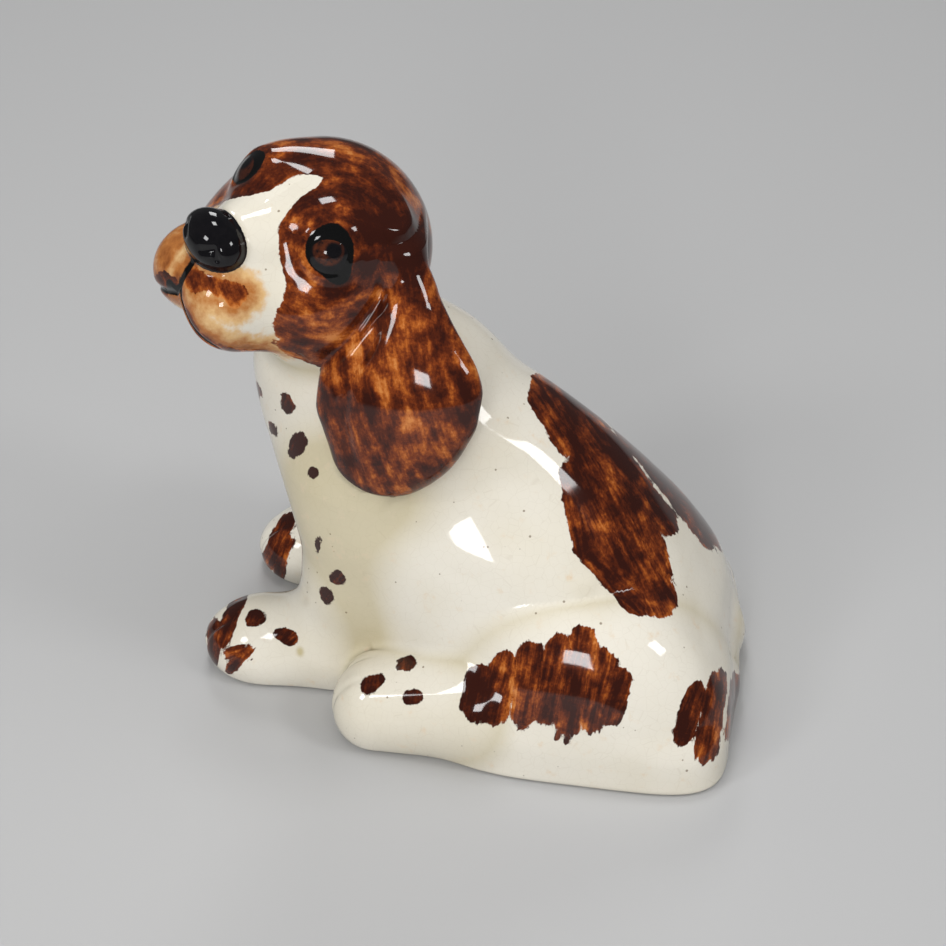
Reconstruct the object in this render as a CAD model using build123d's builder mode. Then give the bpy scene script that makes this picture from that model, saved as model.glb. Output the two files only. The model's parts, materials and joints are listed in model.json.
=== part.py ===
from build123d import *
import os
from math import cos, pi, sin

# A sitting spaniel puppy in hollow glazed earthenware, in millimetres.
# The puppy faces -Y, its left is +X, and it stands on Z = 0 with the origin under its middle.

# Clay walls, and the openings that let air out in the kiln
WALL = 5.0
SLAB = 5.0
VENT_DIAMETER = 8.0
VENT_Y = 36.0
PASSAGE_DIAMETER = 12.0

# How many points draw each oval
OVAL_POINTS = 20

# Head: place of its centre, turn to the left, tip upwards, lean to the left
HEAD_Y = -35.8
HEAD_Z = 107.8
HEAD_TURN = 52.0
HEAD_TIP = 22.0
HEAD_LEAN = 15.0

# Head in its own frame: distance forward, crown, underside, half width, fullness of the lower half
HEAD_STATIONS = [
    (-27.2, 4.8, -1.8, 4.0, 0.0),
    (-25.8, 9.2, -6.2, 8.4, 0.0),
    (-22.0, 16.0, -12.8, 15.4, 0.02),
    (-15.0, 22.0, -18.8, 21.6, 0.08),
    (-6.0, 24.6, -21.6, 24.8, 0.12),
    (3.0, 23.4, -22.0, 25.0, 0.15),
    (10.0, 19.2, -21.4, 22.8, 0.18),
    (15.0, 13.8, -21.8, 19.8, 0.26),
    (20.0, 9.0, -22.4, 17.2, 0.36),
    (25.0, 5.2, -21.2, 15.6, 0.4),
    (29.0, -1.5, -18.8, 13.6, 0.26),
    (31.2, -5.6, -16.0, 10.6, 0.1),
    (32.2, -8.2, -13.8, 7.0, 0.0),
]
# Left brow: centre and half lengths of the ball of clay
BROW_CENTRE = (9.2, -7.4, 10.4)
BROW_HALF = (8.6, 8.6, 7.7)

# Eyes and nose: line out from the head's centre, half lengths, depth of the middle under the surface
EYE_LINE = (0.70, -0.59, 0.41)
EYE_HALF = (4.9, 5.9, 3.8)
EYE_DEPTH = 1.5
NOSE_LINE = (0.0, -1.0, 0.0)
NOSE_HALF = (8.8, 6.8, 6.2)
NOSE_DEPTH = 0.6

# Torso: height, chest reach, back reach, half width, squareness
TORSO_LEVELS = [
    (0.0, -15.5, 64.0, 42.0, 3.2),
    (10.0, -18.5, 64.0, 41.0, 3.0),
    (22.0, -22.5, 61.5, 38.0, 2.7),
    (34.0, -29.5, 55.0, 35.5, 2.5),
    (46.0, -39.0, 46.0, 32.0, 2.3),
    (58.0, -46.5, 35.5, 26.5, 2.2),
    (68.0, -49.5, 24.0, 23.5, 2.1),
]
# Neck: drop below the head's centre, then as the torso
NECK_LEVELS = [
    (30.0, -50.5, 9.5, 22.0, 2.0),
    (20.0, -48.0, -3.0, 19.0, 2.0),
    (12.0, -44.5, -12.5, 15.5, 2.0),
]

# Ear: height above the head's centre, places to the left of it and behind it, half thickness, half breadth
EAR_LEVELS = [
    (9.0, 9.0, 20.4, 1.2, 1.6),
    (7.6, 9.4, 21.0, 3.0, 3.4),
    (3.5, 11.0, 23.2, 4.6, 4.8),
    (-2.0, 13.8, 25.0, 5.4, 6.2),
    (-6.5, 16.8, 25.2, 5.9, 9.2),
    (-10.5, 19.2, 25.3, 6.2, 12.4),
    (-15.5, 21.6, 25.0, 6.5, 16.4),
    (-20.5, 23.4, 24.3, 6.6, 18.4),
    (-26.0, 24.8, 23.7, 6.5, 18.3),
    (-31.5, 25.8, 23.4, 6.2, 16.4),
    (-37.0, 26.3, 23.3, 5.6, 13.4),
    (-41.5, 26.5, 23.0, 4.6, 9.6),
    (-44.2, 26.5, 22.9, 3.2, 5.6),
    (-45.4, 26.5, 22.9, 1.2, 2.2),
]
EAR_TURN = -4.0
# Right ear: it hangs from the side that the turned head brings forward and up
RIGHT_EAR_ROOT = 22.0
RIGHT_EAR_TURN = -30.0
RIGHT_EAR_FORWARD = 28.0
RIGHT_EAR_RAISE = 5.0

# Forelegs: place of each paw on the ground
LEFT_PAW = (15.5, -48.0)
RIGHT_PAW = (-24.0, -44.5)
# Leg: height, shift towards the middle, distance behind the paw's place, half width, half depth
LEG_LEVELS = [
    (0.0, 0.0, 15.0, 10.5, 11.0),
    (8.0, 0.0, 15.8, 10.8, 11.2),
    (18.0, 0.4, 20.0, 11.8, 12.0),
    (30.0, 1.2, 23.5, 13.4, 13.6),
    (42.0, 2.0, 25.0, 15.2, 15.2),
    (54.0, 3.0, 27.0, 16.6, 16.4),
    (62.0, 3.6, 28.4, 14.8, 14.6),
    (67.5, 4.2, 29.4, 11.0, 11.0),
    (70.0, 4.5, 30.0, 5.0, 5.0),
]
# Paw: distance behind its place, height of its middle, half width, half height
PAW_STATIONS = [
    (20.0, 6.0, 10.5, 11.0),
    (10.0, 5.6, 11.6, 10.6),
    (0.0, 5.0, 12.4, 10.0),
    (-7.0, 4.6, 11.4, 9.0),
    (-12.0, 4.0, 8.4, 7.0),
    (-14.4, 3.5, 4.6, 4.2),
]
PAW_TIP = 15.0

# Haunch: height, knee reach, rump reach, inner side, outer side, squareness
HAUNCH_LEVELS = [
    (0.0, 2.0, 67.0, 4.0, 49.5, 4.5),
    (8.0, 1.5, 66.8, 4.0, 49.0, 4.0),
    (16.0, 1.0, 65.0, 5.0, 47.2, 2.8),
    (24.0, 2.5, 61.0, 7.0, 44.8, 2.5),
    (31.0, 6.0, 55.0, 10.5, 41.5, 2.3),
    (36.0, 11.5, 48.0, 15.0, 37.8, 2.1),
    (39.0, 18.5, 40.5, 19.0, 33.5, 2.0),
]
HAUNCH_TOP = 40.3
RIGHT_HAUNCH_FORWARD = 8.0
RIGHT_HAUNCH_LOWER = 4.0

# Hind foot: place beside the middle, then its stations as for a paw, measured from the origin
FOOT_X = 36.0
FOOT_STATIONS = [
    (14.5, 10.6, 13.0, 13.6),
    (5.5, 10.2, 13.2, 13.6),
    (-4.5, 8.9, 12.8, 12.8),
    (-13.5, 7.4, 11.8, 11.8),
    (-19.5, 6.8, 10.4, 10.6),
    (-24.0, 6.0, 7.6, 8.0),
    (-26.0, 5.4, 4.2, 4.6),
]
FOOT_TIP = 26.8

# Tail: how far it reaches to each side, depth of its line in the rump, heights, thickness
TAIL_LEFT = 14.0
TAIL_RIGHT = 25.0
TAIL_SET_IN = 2.6
TAIL_CURVE = 4.0
TAIL_Z = 6.4
TAIL_RADIUS = 5.0

HEAD = Pos(0, HEAD_Y, HEAD_Z) * Rot(0, 0, HEAD_TURN) * Rot(-HEAD_TIP, 0, 0) * Rot(0, HEAD_LEAN, 0)


def oval(centre, half_x, half_y, squareness=2.0, turn=0.0):
    """Points of the closed curve |x/a|^n + |y/b|^n = 1, turned about its centre."""
    points = []
    for step in range(OVAL_POINTS):
        angle = 2 * pi * step / OVAL_POINTS
        across = abs(cos(angle) / half_x) ** squareness
        along = abs(sin(angle) / half_y) ** squareness
        reach = (across + along) ** (-1 / squareness)
        spoke = Vector(reach * cos(angle), reach * sin(angle))
        points.append(Vector(*centre) + spoke.rotate(Axis.Z, turn))
    return points


def slice_at(plane, points):
    """A flat face inside a smooth closed curve through the points."""
    with BuildSketch(plane) as face:
        with BuildLine():
            Spline(*points, periodic=True)
        make_face()
    return face.sketch


def skin_over(sections):
    """A smooth solid through a row of slices, whose ends may be single points."""
    with BuildPart() as stack:
        loft(sections=sections)
    return stack.part


def largest(solid):
    """The main piece of a solid, without the crumbs that a cut leaves."""
    return solid.solids().sort_by(SortBy.VOLUME)[-1]


def cut_to_fit(solid, *neighbours):
    """A piece of clay above the ground, cut back to the surfaces that it is luted to."""
    with BuildPart() as piece:
        add(solid)
        split(bisect_by=Plane.XY, keep=Keep.TOP)
        for neighbour in neighbours:
            add(neighbour, mode=Mode.SUBTRACT)
    return largest(piece.part)


def mirrored(solid):
    """The same piece for the other side."""
    with BuildPart() as other:
        mirror(solid, about=Plane.YZ)
    return other.part


def torso_solid(inset=0.0):
    """Torso and neck as one stack of ovals, drawn in by the inset on all sides but the foot."""
    levels = TORSO_LEVELS + [(HEAD_Z - drop, *reaches) for drop, *reaches in NECK_LEVELS]
    top = levels[-1][0] - inset
    slices = []
    for height, chest, back, half_width, squareness in levels:
        half_depth = (back - chest) / 2
        points = oval((0, chest + half_depth), half_width - inset, half_depth - inset, squareness)
        slices.append(slice_at(Plane.XY.offset(min(height, top)), points))
    return skin_over(slices)


def clay_ball(centre, half):
    """A ball stretched to three half lengths."""
    with BuildPart() as ball:
        Sphere(1)
        scale(by=tuple(half))
    return Pos(*centre) * ball.part


def egg(crown, underside, half_width, fullness):
    """Points of an upright oval whose lower half is fuller: x = w cos(t) (1 - k sin(t)).

    It starts one step below the side, so that the skin's seam stays clear of the brows and the neck.
    """
    middle = (crown + underside) / 2
    half_height = (crown - underside) / 2
    points = []
    for step in range(OVAL_POINTS):
        angle = 2 * pi * (step - 1) / OVAL_POINTS
        across = half_width * cos(angle) * (1 - fullness * sin(angle))
        points.append((across, middle + half_height * sin(angle)))
    return points


def head_slices(stations, inset=0.0):
    """Upright slices across the head, from its back to its muzzle, drawn in by the inset."""
    slices = []
    for forward, crown, underside, half_width, fullness in stations:
        points = egg(crown - inset, underside + inset, half_width - inset, fullness)
        slices.append(slice_at(Plane.XZ.offset(forward), points))
    return slices


def head_solid():
    """The whole head: a skin over its slices, from the back to the muzzle, with two brows."""
    skin = skin_over(head_slices(HEAD_STATIONS))
    left_brow = clay_ball(BROW_CENTRE, BROW_HALF)
    right_brow = mirrored(left_brow)
    with BuildPart() as whole:
        add([skin, left_brow, right_brow])
    return HEAD * whole.part


def seated_ball(carrier, line, half, depth):
    """A flattened ball set in the surface where a line from the head's centre comes out."""
    way = (HEAD * Pos(*line)).position - HEAD.position
    ray = Axis(HEAD.position, way)
    hits = [hit for face in carrier.faces() for hit in face.find_intersection_points(ray)]
    surface, normal = max(hits, key=lambda hit: (hit[0] - HEAD.position).dot(way))
    level = Vector(0, 0, 1).cross(normal)
    seat = Plane(surface - normal * depth, x_dir=level, z_dir=normal)
    return seat.location * clay_ball((0, 0, 0), half)


def ear_solid(root, turn):
    """A hanging ear: flat turned ovals from its root, no nearer to the middle than given, to its rounded end."""
    slices = []
    for rise, left, behind, half_thickness, half_breadth in EAR_LEVELS:
        middle = (max(left, root), HEAD_Y + behind)
        points = oval(middle, half_thickness, half_breadth, turn=turn)
        slices.append(slice_at(Plane.XY.offset(HEAD_Z + rise), points))
    return skin_over(slices)


def foot_solid(place_x, place_y, stations, tip):
    """A foot lying along Y: upright ovals that close in a rounded front."""
    slices = []
    for behind, height, half_width, half_height in stations:
        points = oval((place_x, height), half_width, half_height)
        slices.append(slice_at(Plane.XZ.offset(-(place_y + behind)), points))
    front = Vertex(place_x, place_y - tip, stations[-1][1])
    return skin_over([*slices, front])


def foreleg_solid(paw, side):
    """A foreleg and its paw, on the left for side 1 and on the right for side -1."""
    slices = []
    for height, inward, behind, half_width, half_depth in LEG_LEVELS:
        points = oval((paw[0] - side * inward, paw[1] + behind), half_width, half_depth)
        slices.append(slice_at(Plane.XY.offset(height), points))
    leg = skin_over(slices)
    foot = foot_solid(*paw, PAW_STATIONS, PAW_TIP)
    with BuildPart() as foreleg:
        add(leg)
        add(foot)
    return foreleg.part


def haunch_solid():
    """A folded hind leg: level ovals from the ground to the rounded top of the thigh."""
    slices = []
    for height, knee, rump, inner, outer, squareness in HAUNCH_LEVELS:
        middle = ((inner + outer) / 2, (knee + rump) / 2)
        points = oval(middle, (outer - inner) / 2, (rump - knee) / 2, squareness)
        slices.append(slice_at(Plane.XY.offset(height), points))
    return skin_over([*slices, Vertex(*middle, HAUNCH_TOP)])


def tail_solid():
    """A short round tail bent across the rump, closed by a rounded end."""
    rump = TORSO_LEVELS[0][2] - TAIL_SET_IN
    root = (TAIL_LEFT, rump, TAIL_Z)
    bend = ((TAIL_LEFT - TAIL_RIGHT) / 2, rump - TAIL_CURVE / 4, TAIL_Z)
    end = (-TAIL_RIGHT, rump - TAIL_CURVE, TAIL_Z)
    with BuildPart() as tail:
        with BuildLine() as line:
            ThreePointArc(root, bend, end)
        with BuildSketch(Plane(root, z_dir=line.line % 0)):
            Circle(TAIL_RADIUS)
        sweep()
        with Locations(end):
            Sphere(TAIL_RADIUS)
    return tail.part


torso_outside = torso_solid()
torso_hollow = torso_solid(WALL)
head_outside = head_solid()
neck_top = HEAD_Z - NECK_LEVELS[-1][0]
neck_y = (NECK_LEVELS[-1][1] + NECK_LEVELS[-1][2]) / 2

with BuildPart() as torso:
    add(torso_outside)
    add(torso_hollow, mode=Mode.SUBTRACT)
    with Locations((0, neck_y, neck_top)):
        Cylinder(PASSAGE_DIAMETER / 2, 4 * WALL, mode=Mode.SUBTRACT)

with BuildPart() as base_slab:
    add(torso_hollow)
    split(bisect_by=Plane.XY.offset(SLAB), keep=Keep.BOTTOM)
    with Locations((0, VENT_Y, SLAB)):
        Hole(VENT_DIAMETER / 2)

nose = seated_ball(head_outside, NOSE_LINE, NOSE_HALF, NOSE_DEPTH)
left_eye = seated_ball(head_outside, EYE_LINE, EYE_HALF, EYE_DEPTH)
right_eye = seated_ball(head_outside, (-EYE_LINE[0], *EYE_LINE[1:]), EYE_HALF, EYE_DEPTH)
head_hollow = HEAD * skin_over(head_slices(HEAD_STATIONS[2:-3], WALL))
head = cut_to_fit(head_outside, head_hollow, torso_outside, nose, left_eye, right_eye)

left_foreleg = cut_to_fit(foreleg_solid(LEFT_PAW, 1), torso_outside)
right_foreleg = cut_to_fit(foreleg_solid(RIGHT_PAW, -1), torso_outside)

left_ear = ear_solid(EAR_LEVELS[0][1], EAR_TURN)
left_ear = cut_to_fit(left_ear, head_outside, torso_outside, left_foreleg)
right_ear = mirrored(ear_solid(RIGHT_EAR_ROOT, RIGHT_EAR_TURN))
right_ear = Pos(0, -RIGHT_EAR_FORWARD, RIGHT_EAR_RAISE) * right_ear
right_ear = cut_to_fit(right_ear, head_outside, torso_outside, right_foreleg)

haunch = haunch_solid()
left_haunch = cut_to_fit(haunch, torso_outside)
right_haunch = Pos(0, -RIGHT_HAUNCH_FORWARD, -RIGHT_HAUNCH_LOWER) * mirrored(haunch)
right_haunch = cut_to_fit(right_haunch, torso_outside)

hind_foot = foot_solid(FOOT_X, 0, FOOT_STATIONS, FOOT_TIP)
left_hind_foot = cut_to_fit(hind_foot, torso_outside, left_haunch, left_foreleg)
right_hind_foot = cut_to_fit(mirrored(hind_foot), torso_outside, right_haunch, right_foreleg)

tail = cut_to_fit(tail_solid(), torso_outside, left_haunch, right_haunch)

pieces = {
    "torso": largest(torso.part),
    "base_slab": largest(base_slab.part),
    "head": head,
    "nose": nose,
    "left_eye": left_eye,
    "right_eye": right_eye,
    "left_ear": left_ear,
    "right_ear": right_ear,
    "left_foreleg": left_foreleg,
    "right_foreleg": right_foreleg,
    "left_haunch": left_haunch,
    "right_haunch": right_haunch,
    "left_hind_foot": left_hind_foot,
    "right_hind_foot": right_hind_foot,
    "tail": tail,
}
os.makedirs("parts", exist_ok=True)
for name, piece in pieces.items():
    piece.label = name
    export_step(piece, f"parts/{name}.step")
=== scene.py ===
# %% [markdown]
# # A sitting spaniel puppy in glazed earthenware
# The figure is one soft body of clay under a thick glaze, so its pieces have to flow into each other.
# It could be sculpted by hand, or each piece could be a separate smooth mesh with a visible seam.
# Here each piece is a skin over one shared field, a function that is negative inside the clay.
# That hides the seams and keeps every size a number.
#
# ## The frame
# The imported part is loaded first. Its nodes show where each piece belongs, and its box limits the looks.

# %% Load the frame
import json

import bpy
import numpy as np
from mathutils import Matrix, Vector


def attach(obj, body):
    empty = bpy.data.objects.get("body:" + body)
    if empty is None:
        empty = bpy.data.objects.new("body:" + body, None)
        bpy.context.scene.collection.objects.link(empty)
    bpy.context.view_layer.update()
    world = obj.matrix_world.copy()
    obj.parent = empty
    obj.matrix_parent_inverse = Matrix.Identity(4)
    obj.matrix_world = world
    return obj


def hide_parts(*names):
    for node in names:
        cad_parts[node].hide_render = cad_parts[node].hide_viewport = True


MM = 0.001
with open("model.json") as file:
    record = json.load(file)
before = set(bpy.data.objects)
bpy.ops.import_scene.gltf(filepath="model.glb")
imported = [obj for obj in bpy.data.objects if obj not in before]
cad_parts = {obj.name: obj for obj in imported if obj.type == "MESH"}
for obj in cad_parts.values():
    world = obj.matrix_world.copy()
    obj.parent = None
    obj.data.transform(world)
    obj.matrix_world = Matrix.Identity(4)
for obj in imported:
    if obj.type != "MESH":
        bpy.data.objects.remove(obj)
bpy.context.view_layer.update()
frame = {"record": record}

# %% [markdown]
# ## The clay as a field
# A ball, a tapering limb and a stack of ovals are enough for the whole animal.
# Each returns roughly the distance to its surface in millimetres, for points given as three arrays.
# Two shapes are joined by taking the smaller distance, with a fillet where both are about equal.


# %% Balls and limbs
def ball(p, centre, half):
    """Distance to a stretched ball: k (k - 1) / g, where k is the point's length counted in half lengths."""
    q = p - np.reshape(centre, (3, 1))
    half = np.reshape(half, (3, 1))
    k = np.sqrt(((q / half) ** 2).sum(0))
    g = np.sqrt(((q / half**2) ** 2).sum(0))
    return k * (k - 1) / np.maximum(g, 1e-9)


def limb(p, start, end, start_radius, end_radius):
    """Distance to a rounded limb: the nearest point of its line, less a radius that changes along it."""
    start = np.reshape(start, (3, 1)).astype(float)
    along = np.reshape(end, (3, 1)) - start
    share = np.clip(((p - start) * along).sum(0) / (along**2).sum(), 0, 1)
    away = p - start - share * along
    return np.sqrt((away**2).sum(0)) - (start_radius + (end_radius - start_radius) * share)


def join(a, b, width):
    """Smooth union: the smaller distance, lowered by a fillet where both are about equal."""
    near = np.maximum(width - np.abs(a - b), 0) / width
    return np.minimum(a, b) - near**2 * width / 4


def meet(a, b, width):
    """Smooth intersection, the union's mirror image."""
    return -join(-a, -b, width)


print("a point 7 mm from the middle of a ball of 2 mm:", ball(np.array([[7], [0], [0]]), (0, 0, 0), (2, 2, 2)))


# %% Stacks of ovals, bent lines and grooves
def levels_at(height, table):
    """Columns of a table at any height, on curves that don't overshoot between its rows."""
    table = np.asarray(table, float)
    gap = np.diff(table[:, 0])[:, None]
    rise = np.diff(table[:, 1:], axis=0) / gap
    product = rise[:-1] * rise[1:]
    total = np.where(product > 0, rise[:-1] + rise[1:], 1)
    middle = np.where(product > 0, 2 * product / total, 0)
    slope = np.vstack([rise[:1], middle, rise[-1:]])
    height = np.clip(height, table[0, 0], table[-1, 0])
    row = np.clip(np.searchsorted(table[:, 0], height, side="right") - 1, 0, len(table) - 2)
    t = ((height - table[row, 0]) / gap[row, 0])[:, None]
    low, high = table[row, 1:], table[row + 1, 1:]
    value = low + (high - low) * t * t * (3 - 2 * t)
    value += gap[row] * (slope[row] * t * (1 - t) ** 2 - slope[row + 1] * t * t * (1 - t))
    return value.T


def oval_stack(p, front, back, right, left, squareness):
    """Distance to a level oval |x/a|^n + |y/b|^n = 1 between four sides, each given at the point's height."""
    a, b = (left - right) / 2, (back - front) / 2
    across = np.abs(p[0] - (left + right) / 2) / a
    along = np.abs(p[1] - (front + back) / 2) / b
    k = (across**squareness + along**squareness) ** (1 / squareness)
    return (k - 1) * np.minimum(a, b)


def polyline(p, points):
    """Distance to a bent line through the points."""
    return np.min([limb(p, a, b, 0, 0) for a, b in zip(points[:-1], points[1:])], axis=0)


def dent(distance, depth, width):
    """A soft groove or bulge: a bell curve of the distance from its line."""
    return depth * np.exp(-((distance / width) ** 2))


print("half way up a table from 0 to 10:", levels_at(np.array([5.0]), [(0, 0), (10, 10)]))

# %% [markdown]
# ## The body
# The torso and the haunches are stacks of level ovals, each row of a table giving one level.
# A loft would do the same, but a table can be read at any height, so the field needs no mesh.
# The tables are those of the solids, but the haunch's foot is up to 0.6 mm smaller, because fillets add to it.
# The withers, a soft rise behind the neck, are joined on here.

# %% Torso and haunches
HEAD_Y, HEAD_Z = -35.8, 107.8
# height, chest, back, half width, squareness
TORSO = [
    (0.0, -15.5, 64.0, 42.0, 3.2),
    (10.0, -18.5, 64.0, 41.0, 3.0),
    (22.0, -22.5, 61.5, 38.0, 2.7),
    (34.0, -29.5, 55.0, 35.5, 2.5),
    (46.0, -39.0, 46.0, 32.0, 2.3),
    (58.0, -46.5, 35.5, 26.5, 2.2),
    (68.0, -49.5, 24.0, 23.5, 2.1),
    (HEAD_Z - 30, -50.5, 9.5, 22.0, 2.0),
    (HEAD_Z - 20, -48.0, -3.0, 19.0, 2.0),
    (HEAD_Z - 12, -44.5, -12.5, 15.5, 2.0),
]
# height, knee, rump, inner side, outer side, squareness
HAUNCH = [
    (0.0, 2.0, 66.4, 4.0, 49.2, 4.5),
    (8.0, 1.5, 66.2, 4.0, 48.8, 4.0),
    (16.0, 1.0, 65.0, 5.0, 47.2, 2.8),
    (24.0, 2.5, 61.0, 7.0, 44.8, 2.5),
    (31.0, 6.0, 55.0, 10.5, 41.5, 2.3),
    (36.0, 11.5, 48.0, 15.0, 37.8, 2.1),
    (39.0, 18.5, 40.5, 19.0, 33.5, 2.0),
    (40.3, 29.0, 30.0, 26.0, 27.0, 2.0),
]


def torso(p):
    """The torso and the neck, closed by a soft top, with the withers behind the neck."""
    chest, back, half, squareness = levels_at(p[2], TORSO)
    side = oval_stack(p, chest, back, -half, half, squareness)
    body = meet(side, p[2] - TORSO[-1][0], 8) * 0.8
    return join(body, ball(p, (-3, -9, 74), (14, 13, 13)), 10)


def haunch(p, side):
    """A folded hind leg. The right one sits a little further forward and lower."""
    q = p if side > 0 else np.array([-p[0], p[1] + 8, p[2] + 4])
    knee, rump, inner, outer, squareness = levels_at(q[2], HAUNCH)
    return meet(oval_stack(q, knee, rump, inner, outer, squareness), q[2] - HAUNCH[-1][0], 2) * 0.8


print("torso at the foot", TORSO[0][2] - TORSO[0][1], "mm long and", 2 * TORSO[0][3], "mm wide")

# %% [markdown]
# ## The legs
# A foreleg is two tapering limbs and a mitten of a paw, with soft grooves between the toes.
# Metaballs would give such soft joints too, but a formula keeps each radius as it is written.
# The grooves are bell curves added to the distance, so they are real geometry and not only shading.

# %% Legs and tail
LEFT_PAW, RIGHT_PAW = (15.5, -48.0), (-24.0, -44.5)


def foreleg(p, side, paw):
    """Upper leg, lower leg and paw, joined softly."""
    q = np.array([side * (p[0] - paw[0]), p[1] - paw[1], p[2]])
    shoulder, knee, ankle = (-3, 27, 56), (-1, 23, 26), (0, 17, 11)
    leg = join(limb(q, shoulder, knee, 15, 11.5), limb(q, knee, ankle, 11.5, 10.5), 6)
    foot = join(ball(q, (0, 0, 5), (12.5, 15, 10)), limb(q, (0, 18, 6), (0, 1, 5), 11, 9.5), 6)
    groove = dent(np.abs(q[0]) - 4.2, 0.55, 0.9) * np.clip((-5 - q[1]) / 6, 0, 1)
    return join(leg, foot + groove, 10)


def hind_foot(p, side):
    """A foot that lies along the ground in front of the haunch."""
    q = np.array([side * p[0], p[1], p[2]])
    foot = limb(q, (35.4, 8, 10.5), (36, -15, 7), 13.6, 11.5)
    groove = dent(np.abs(q[0] - 36) - 4.0, 0.35, 0.9) * np.clip((-16 - q[1]) / 6, 0, 1)
    return foot + groove


def tail(p):
    """A short tail laid across the rump."""
    root, bend, tip = (13, 60.2, 6), (-6, 60.4, 6.4), (-24, 57.0, 6.6)
    return join(limb(p, root, bend, 5, 5), limb(p, bend, tip, 5, 4.4), 4)


print("paws", LEFT_PAW[0] - RIGHT_PAW[0], "mm apart")

# %% [markdown]
# ## The head
# The head has a frame of its own: left, forward and up, turned and tipped like the real one.
# Both halves are one formula, because the field takes the size of the left coordinate without its sign.
# The eyes are the exception: they were set one by one, so each has a place of its own.
# Sculpting would be freer. Balls in a frame of their own can be moved one at a time, and turned all together.


# %% Frame of the head
def way_to(azimuth, elevation):
    """Unit vector to a direction: azimuth from the front round to the left side, elevation from the ground."""
    a, e = np.radians([azimuth, elevation])
    return np.array([np.sin(a) * np.cos(e), -np.cos(a) * np.cos(e), np.sin(e)])


HEAD_TURN, HEAD_TIP, HEAD_LEAN = 52.0, 22.0, -15.0
HEAD_CENTRE = np.array([[0.0], [HEAD_Y], [HEAD_Z]])
face_way = way_to(HEAD_TURN, HEAD_TIP)
turn, lean = np.radians([HEAD_TURN, HEAD_LEAN])
level_left = np.array([np.cos(turn), np.sin(turn), 0.0])
level_up = np.cross(face_way, level_left)
left_way = level_left * np.cos(lean) + level_up * np.sin(lean)
up_way = level_up * np.cos(lean) - level_left * np.sin(lean)
HEAD_AXES = np.array([left_way, face_way, up_way])


def to_head(p):
    """Points in the head's frame: left, forward, up."""
    return HEAD_AXES @ (p - HEAD_CENTRE)


def from_head(left, forward, up):
    """One point of the head's frame in the figure's frame."""
    return HEAD_AXES.T @ np.array([left, forward, up]) + HEAD_CENTRE[:, 0]


def mirrored(p):
    """Both halves of a symmetric shape as one."""
    return np.array([np.abs(p[0]), p[1], p[2]])


print("the face looks along", face_way.round(3))

# %% Head, nose and eyes
# middle and half lengths of each ball, left, forward and up, then the width of its fillet
SKULL = ((0, -4.3, 1.3), (24, 23, 22.4))
HEAD_BALLS = {
    "brow": ((9.4, 7.8, 9.8), (8, 8.5, 7.2), 6.5),
    "muzzle": ((0, 16.6, -6.5), (11.5, 12, 10.5), 8),
    "bridge": ((0, 14, 1.2), (8, 13.5, 7), 8),
    "flew": ((7.2, 19.8, -11.6), (9.4, 12.6, 10.8), 4),
    "lip": ((0, 20.0, -10), (8.5, 11.4, 9.5), 5),
    "cheek": ((13.5, 2, -7.5), (11.5, 15, 13), 8),
}
NOSE_CENTRE, NOSE_HALF = (0.0, 28.2, 0.2), (8.5, 6.0, 6.0)
# the mouth line's points, to the left and up
MOUTH = [(0, -5), (0, -12), (1.2, -14.8), (4.5, -16.8), (8.5, -18.4), (11, -19.6)]
# middle of each eye, and the way that it looks
EYE_RADIUS, EYE_SINK = 6.4, 1.7
EYES = {
    "left_eye": ((14.6, 10.5, 8.7), (0.62, 0.65, 0.43)),
    "right_eye": ((-10.9, 12.7, 9.4), (-0.36, 0.83, 0.42)),
}


def eye_plane(h, name):
    """Place on an eye: towards the ear, up, and out along the way that it looks."""
    centre, out = EYES[name]
    out = np.array(out) / np.linalg.norm(out)
    aside = np.cross(out, [0, 0, 1])
    aside = aside / np.linalg.norm(aside) * np.sign(aside[0] * centre[0])
    up = np.cross(out, aside)
    up = up * np.sign(up[2])
    away = h - np.reshape(centre, (3, 1))
    return aside @ away, up @ away, out @ away


def mouth_line(q):
    """Distance to the line below the nose and along the lips, as seen from the front."""
    return polyline(np.array([q[0], 0 * q[0], q[2]]), [(left, 0, up) for left, up in MOUTH])


def head(p):
    """The skull and its balls joined in turn, with lids round the eyes and a mouth line."""
    h = to_head(p)
    q = mirrored(h)
    clay = ball(q, *SKULL)
    for centre, half, width in HEAD_BALLS.values():
        clay = join(clay, ball(q, centre, half), width)
    for name in EYES:
        x, y, z = eye_plane(h, name)
        clay = clay - dent(np.hypot(x, y) - 5.8, 0.4, 1.5) * np.clip(z / 2, 0, 1)
    return clay + dent(mouth_line(q), 0.6, 0.8) * np.clip((h[1] - 18) / 3, 0, 1)


def nose(p):
    """A button nose with two nostrils."""
    q = mirrored(to_head(p))
    nostril = dent(polyline(q, [(3.2, 33.6, -0.6), (5.2, 32.4, 1.2), (6.4, 31.4, -0.4)]), 0.6, 0.9)
    return ball(q, NOSE_CENTRE, NOSE_HALF) + nostril


def eye(p, name):
    """A flat round eye: the cap of a larger ball."""
    x, y, z = eye_plane(to_head(p), name)
    return np.sqrt(x**2 + y**2 + (z + EYE_SINK) ** 2) - EYE_RADIUS


print("nose at", from_head(*NOSE_CENTRE).round(1))

# %% [markdown]
# ## The ears
# A hanging ear is a stack of flat ovals, thin from side to side, with a groove behind its rolled front edge.
# A bent plane with some thickness would do as well, but only a field can melt into the head.
# The fillet is wide at the ear's root and narrows where the ear hangs free.

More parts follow.
